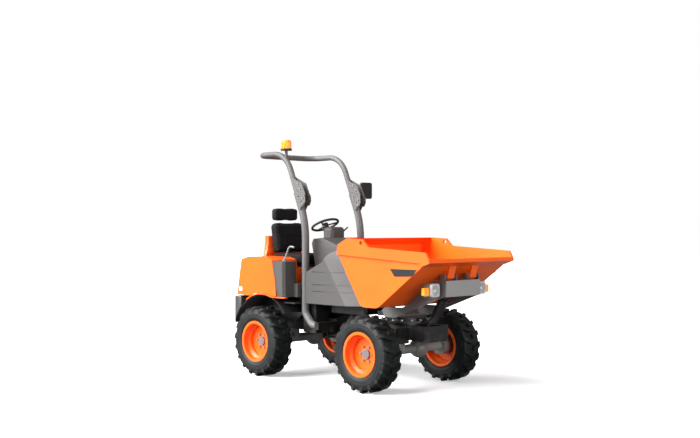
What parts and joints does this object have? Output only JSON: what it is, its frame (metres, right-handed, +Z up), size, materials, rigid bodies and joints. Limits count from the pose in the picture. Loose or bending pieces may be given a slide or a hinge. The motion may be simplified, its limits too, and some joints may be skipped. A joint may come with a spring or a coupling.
{
  "type": "site dumper",
  "caption": "Compact articulated site dumper with a front tipping skip, roll-over bar, operator seat and chevron-lugged tyres.",
  "frame": {"origin": "on the ground, under the middle of the machine's bounding box", "axes": "+X forward towards the skip's lip, +Y to the operator's left, +Z up"},
  "size_m": [2.888, 1.39, 2.4982],
  "materials": {
    "amber": "clear",
    "body_orange": "gloss",
    "chassis_paint": "satin",
    "hub_steel": "satin",
    "iron": "matte",
    "lamp_glass": "clear",
    "plastic_black": "matte",
    "plastic_grey": "matte",
    "rim_paint": "gloss",
    "seat_vinyl": "satin",
    "steel": "satin",
    "tyre": "matte",
    "weight_grey": "satin"
  },
  "bodies": {
    "rear_chassis": {"rear_frame": "chassis_paint", "rear_axle": "chassis_paint", "engine": "iron", "counterweight": "weight_grey", "wheel_arch_left": "plastic_black", "wheel_arch_right": "plastic_black", "fender_lip_left": "body_orange", "fender_lip_right": "body_orange", "seat_base_left": "plastic_grey", "seat_base_right": "plastic_grey", "side_tank_left": "chassis_paint", "side_tank_right": "chassis_paint", "floor_plate": "chassis_paint", "console": "plastic_grey", "dash": "plastic_grey", "steering_column": "plastic_black", "roll_bar_leg_left": "weight_grey", "roll_bar_leg_right": "weight_grey", "hand_levers": "plastic_black", "hydraulic_tank": "chassis_paint"},
    "cover_and_seat": {"engine_cover": "body_orange", "seat_plinth": "plastic_black", "seat_cushion": "seat_vinyl", "seat_back": "seat_vinyl", "headrest": "seat_vinyl"},
    "upper_roll_bar": {"roll_bar_hoop": "weight_grey", "mirror": "plastic_black", "beacon_base": "plastic_black", "beacon_lens": "amber"},
    "steering_wheel_body": {"steering_wheel": "plastic_black"},
    "centre_yoke_body": {"centre_yoke": "chassis_paint"},
    "front_chassis": {"front_frame": "chassis_paint", "front_axle": "chassis_paint", "turntable": "chassis_paint", "skip_carrier": "weight_grey", "skip_rest": "chassis_paint", "front_plate": "weight_grey", "headlamp_left": "lamp_glass", "headlamp_right": "lamp_glass", "amber_lamp_left": "amber", "amber_lamp_right": "amber"},
    "skip_body": {"skip": "body_orange"},
    "steering_barrel_body": {"steering_barrel": "steel"},
    "steering_rod_body": {"steering_rod": "steel"},
    "tipping_barrel_body": {"tipping_barrel": "steel"},
    "tipping_rod_body": {"tipping_rod": "steel"},
    "wheel_front_right": {"tyre_front_right": "tyre", "rim_front_right": "rim_paint", "hub_front_right": "hub_steel"},
    "wheel_front_left": {"tyre_front_left": "tyre", "rim_front_left": "rim_paint", "hub_front_left": "hub_steel"},
    "wheel_rear_right": {"tyre_rear_right": "tyre", "rim_rear_right": "rim_paint", "hub_rear_right": "hub_steel"},
    "wheel_rear_left": {"tyre_rear_left": "tyre", "rim_rear_left": "rim_paint", "hub_rear_left": "hub_steel"}
  },
  "joints": [
    {"name": "centre_steer", "type": "hinge", "parent": "rear_chassis", "child": "centre_yoke_body", "pos_m": [-0.175, 0, 0.545], "axis": [0, 0, 1], "range_deg": [-33, 33]},
    {"name": "centre_oscillation", "type": "hinge", "parent": "centre_yoke_body", "child": "front_chassis", "pos_m": [-0.025, 0, 0.545], "axis": [1, 0, 0], "range_deg": [-8, 8]},
    {"name": "skip_tip", "type": "hinge", "parent": "front_chassis", "child": "skip_body", "pos_m": [1.28, 0, 1.11], "axis": [0, 1, 0], "range_deg": [0, 70]},
    {"name": "cover_lift", "type": "hinge", "parent": "rear_chassis", "child": "cover_and_seat", "pos_m": [-1.35, 0, 0.858], "axis": [0, -1, 0], "range_deg": [0, 50]},
    {"name": "roll_bar_fold", "type": "hinge", "parent": "rear_chassis", "child": "upper_roll_bar", "pos_m": [-0.5, 0, 1.842], "axis": [0, -1, 0], "range_deg": [-130, 0]},
    {"name": "steering_wheel_spin", "type": "hinge", "parent": "rear_chassis", "child": "steering_wheel_body", "pos_m": [-0.61, 0, 1.597], "axis": [-0.4163, 0, 0.9092], "continuous": true},
    {"name": "steering_barrel_swing", "type": "hinge", "parent": "rear_chassis", "child": "steering_barrel_body", "pos_m": [-0.41, -0.14, 0.44], "axis": [0, 0, 1], "range_deg": [-40, 40]},
    {"name": "steering_rod_slide", "type": "slide", "parent": "steering_barrel_body", "child": "steering_rod_body", "axis": [0.9946, 0.1034, 0], "range_m": [-0.12, 0.12]},
    {"name": "tipping_barrel_swing", "type": "hinge", "parent": "front_chassis", "child": "tipping_barrel_body", "pos_m": [0.85, 0, 0.5], "axis": [0, -1, 0], "range_deg": [-20, 20]},
    {"name": "tipping_rod_slide", "type": "slide", "parent": "tipping_barrel_body", "child": "tipping_rod_body", "axis": [0.4998, 0, 0.8662], "range_m": [-0.05, 0.3]},
    {"name": "wheel_front_right_roll", "type": "hinge", "parent": "front_chassis", "child": "wheel_front_right", "pos_m": [0.615, -0.575, 0.368], "axis": [0, 1, 0], "continuous": true},
    {"name": "wheel_front_left_roll", "type": "hinge", "parent": "front_chassis", "child": "wheel_front_left", "pos_m": [0.615, 0.575, 0.368], "axis": [0, 1, 0], "continuous": true},
    {"name": "wheel_rear_right_roll", "type": "hinge", "parent": "rear_chassis", "child": "wheel_rear_right", "pos_m": [-0.958, -0.575, 0.368], "axis": [0, 1, 0], "continuous": true},
    {"name": "wheel_rear_left_roll", "type": "hinge", "parent": "rear_chassis", "child": "wheel_rear_left", "pos_m": [-0.958, 0.575, 0.368], "axis": [0, 1, 0], "continuous": true}
  ],
  "couplings": [
    {"joint": "steering_barrel_swing", "follows": "centre_steer", "ratio": 0.30244},
    {"joint": "steering_rod_slide", "follows": "centre_steer", "m_per_rad": 0.11353},
    {"joint": "tipping_barrel_swing", "follows": "skip_tip", "ratio": 0.14318},
    {"joint": "tipping_rod_slide", "follows": "skip_tip", "m_per_rad": 0.12812}
  ]
}
